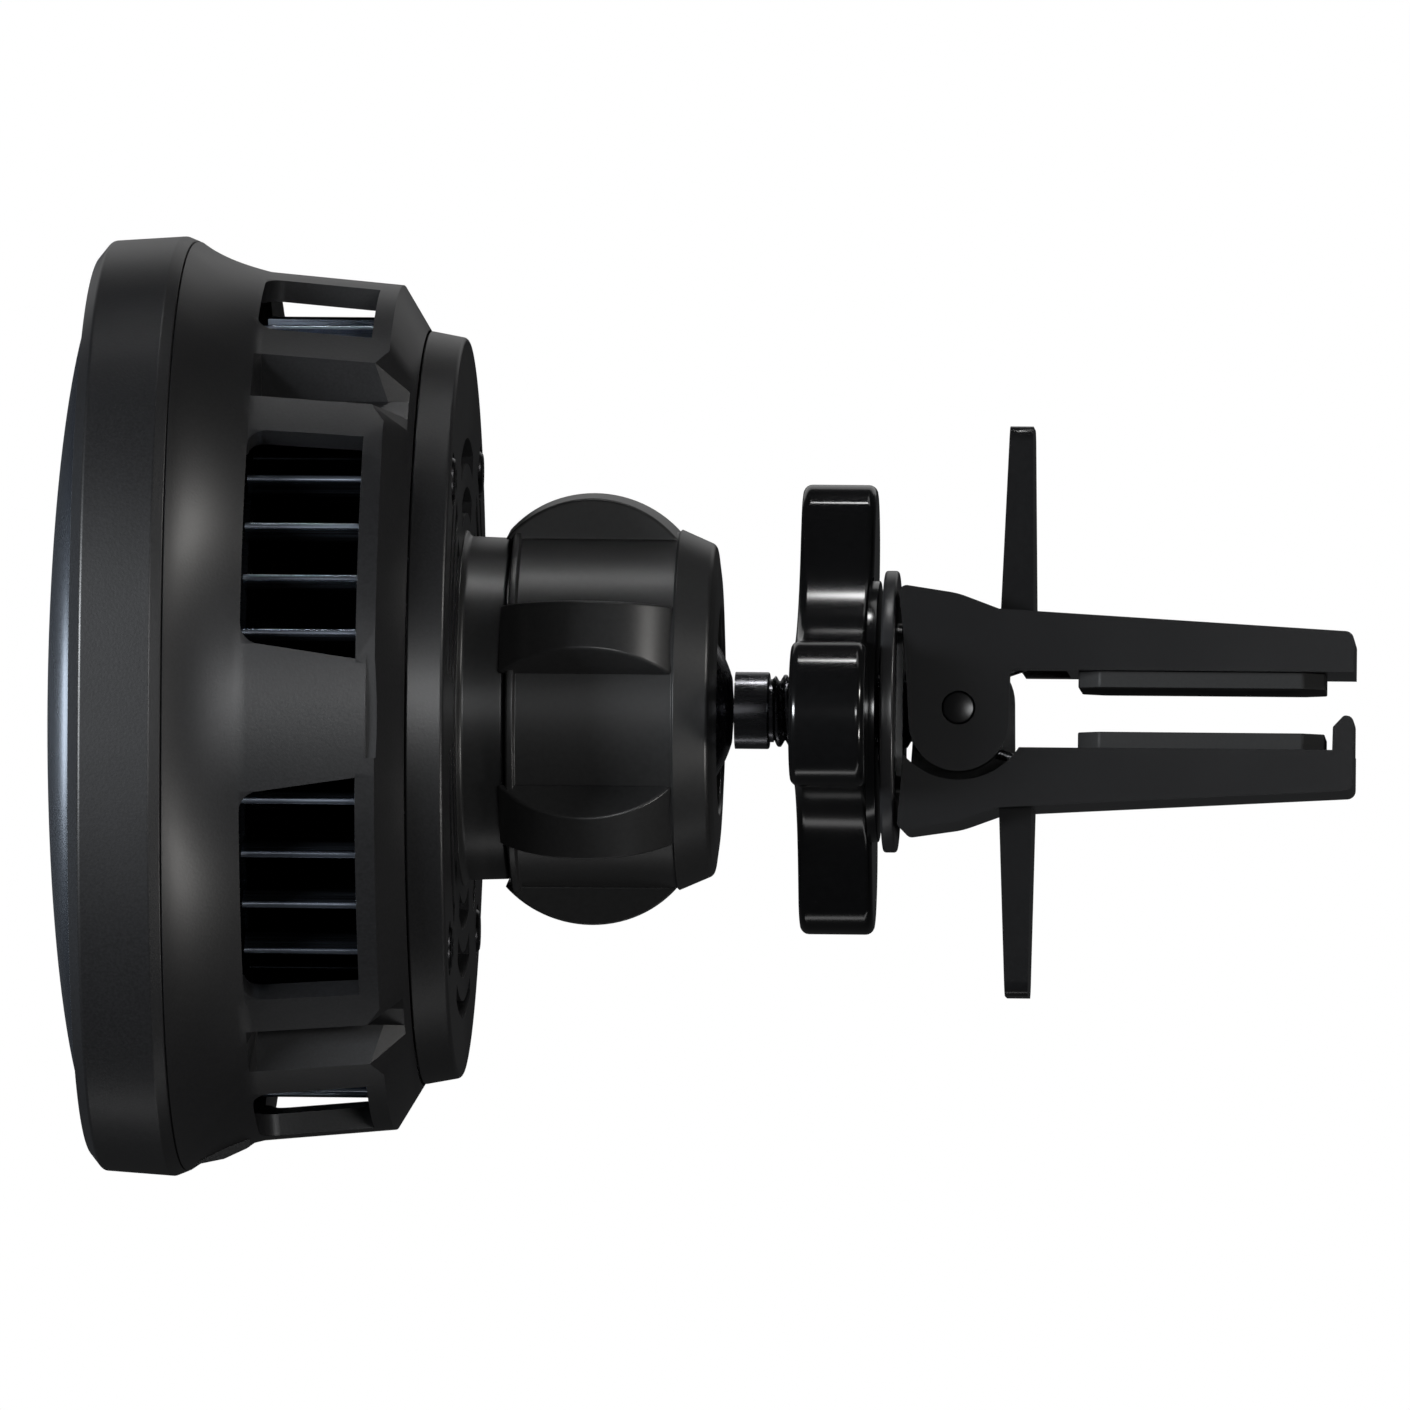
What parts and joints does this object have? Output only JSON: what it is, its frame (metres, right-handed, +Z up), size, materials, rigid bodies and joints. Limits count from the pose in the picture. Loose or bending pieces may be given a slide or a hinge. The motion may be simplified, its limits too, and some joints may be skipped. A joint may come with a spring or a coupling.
{
  "type": "car phone mount",
  "caption": "Round magnetic charging and cooling head on a lockable ball joint, with a screw-clamped two-jaw clip that grips an air vent blade.",
  "frame": {"origin": "centre of the gap between the two rubber grip pads, where the vent blade is held", "axes": "+X from the phone face along the stud and out between the jaws, +Z up, +Y across the vent blade"},
  "size_m": [0.0904, 0.0656, 0.0656],
  "materials": {
    "face_gloss": "glossy dome with a faint blue cast",
    "shell_matte": "fine-grained matte moulding",
    "nut_satin": "satin moulding",
    "plate_satin": "satin moulding",
    "gloss_black": "polished black moulding",
    "fan_black": "smooth moulding",
    "black_metal": "blackened and polished",
    "fin_aluminium": "gunmetal anodised with bright edges",
    "pad_rubber": "soft rubber",
    "steel": "plain steel",
    "copper_wire": "enamelled winding",
    "brass_turned": "turned brass",
    "magnet_nickel": "nickel plate",
    "ferrite": "sintered sheet",
    "board_green": "solder mask",
    "ceramic": "fired ceramic",
    "acetal": "natural acetal"
  },
  "bodies": {
    "stud": {"threaded_stud": "black_metal", "pivot_pin": "steel", "torsion_spring": "steel"},
    "ball": {"ball": "black_metal"},
    "liner": {"socket_liner": "acetal"},
    "head": {"front_pad": "face_gloss", "front_housing": "shell_matte", "rear_housing": "shell_matte", "rear_cover": "shell_matte", "charging_coil": "copper_wire", "ferrite_shield": "ferrite", "magnet_ring": "magnet_nickel", "carrier_tray": "acetal", "cold_plate": "fin_aluminium", "peltier_module": "ceramic", "control_board": "board_green", "usb_socket": "steel", "heat_sink": "fin_aluminium", "fan_frame": "fan_black", "fan_stator": "copper_wire", "fan_bearing": "brass_turned", "ball_socket": "nut_satin", "cover_screw_1": "steel", "cover_screw_2": "steel", "cover_screw_3": "steel", "cover_screw_4": "steel", "socket_screw_1": "steel", "socket_screw_2": "steel", "socket_screw_3": "steel"},
    "lock_nut": {"lock_nut": "nut_satin"},
    "fan": {"fan_rotor": "fan_black", "fan_magnet": "magnet_nickel"},
    "plate": {"pressure_plate": "plate_satin"},
    "knob": {"clamp_knob": "gloss_black", "knob_insert": "brass_turned"},
    "upper_jaw": {"upper_jaw": "gloss_black", "upper_grip_pad": "pad_rubber"},
    "lower_jaw": {"lower_jaw": "gloss_black", "lower_grip_pad": "pad_rubber"}
  },
  "joints": [
    {"name": "swivel", "type": "hinge", "parent": "stud", "child": "ball", "pos_m": [-0.0414, 0, 0], "axis": [1, 0, 0], "continuous": true},
    {"name": "pan", "type": "hinge", "parent": "ball", "child": "liner", "pos_m": [-0.0414, 0, 0], "axis": [0, 0, 1], "range_deg": [-18, 18]},
    {"name": "tilt", "type": "hinge", "parent": "liner", "child": "head", "pos_m": [-0.0414, 0, 0], "axis": [0, 1, 0], "range_deg": [-18, 18]},
    {"name": "nut_turn", "type": "hinge", "parent": "head", "child": "lock_nut", "pos_m": [-0.0414, 0, 0], "axis": [1, 0, 0], "range_deg": [0, 270]},
    {"name": "fan_spin", "type": "hinge", "parent": "head", "child": "fan", "pos_m": [-0.0414, 0, 0], "axis": [1, 0, 0], "continuous": true},
    {"name": "plate_slide", "type": "slide", "parent": "stud", "child": "plate", "axis": [1, 0, 0], "range_m": [-0.00092, 0.00046]},
    {"name": "knob_spin", "type": "hinge", "parent": "plate", "child": "knob", "pos_m": [-0.0414, 0, 0], "axis": [1, 0, 0], "range_deg": [-405, 196]},
    {"name": "upper_jaw_pivot", "type": "hinge", "parent": "stud", "child": "upper_jaw", "pos_m": [-0.0173, 0, 0], "axis": [0, 1, 0], "range_deg": [-6.2, 3.1]},
    {"name": "lower_jaw_pivot", "type": "hinge", "parent": "stud", "child": "lower_jaw", "pos_m": [-0.0173, 0, 0], "axis": [0, 1, 0], "range_deg": [-3.1, 6.2]}
  ],
  "couplings": [
    {"joint": "plate_slide", "follows": "knob_spin", "m_per_rad": 0.00012732},
    {"joint": "upper_jaw_pivot", "follows": "knob_spin", "ratio": 0.0148},
    {"joint": "lower_jaw_pivot", "follows": "knob_spin", "ratio": -0.0148}
  ]
}
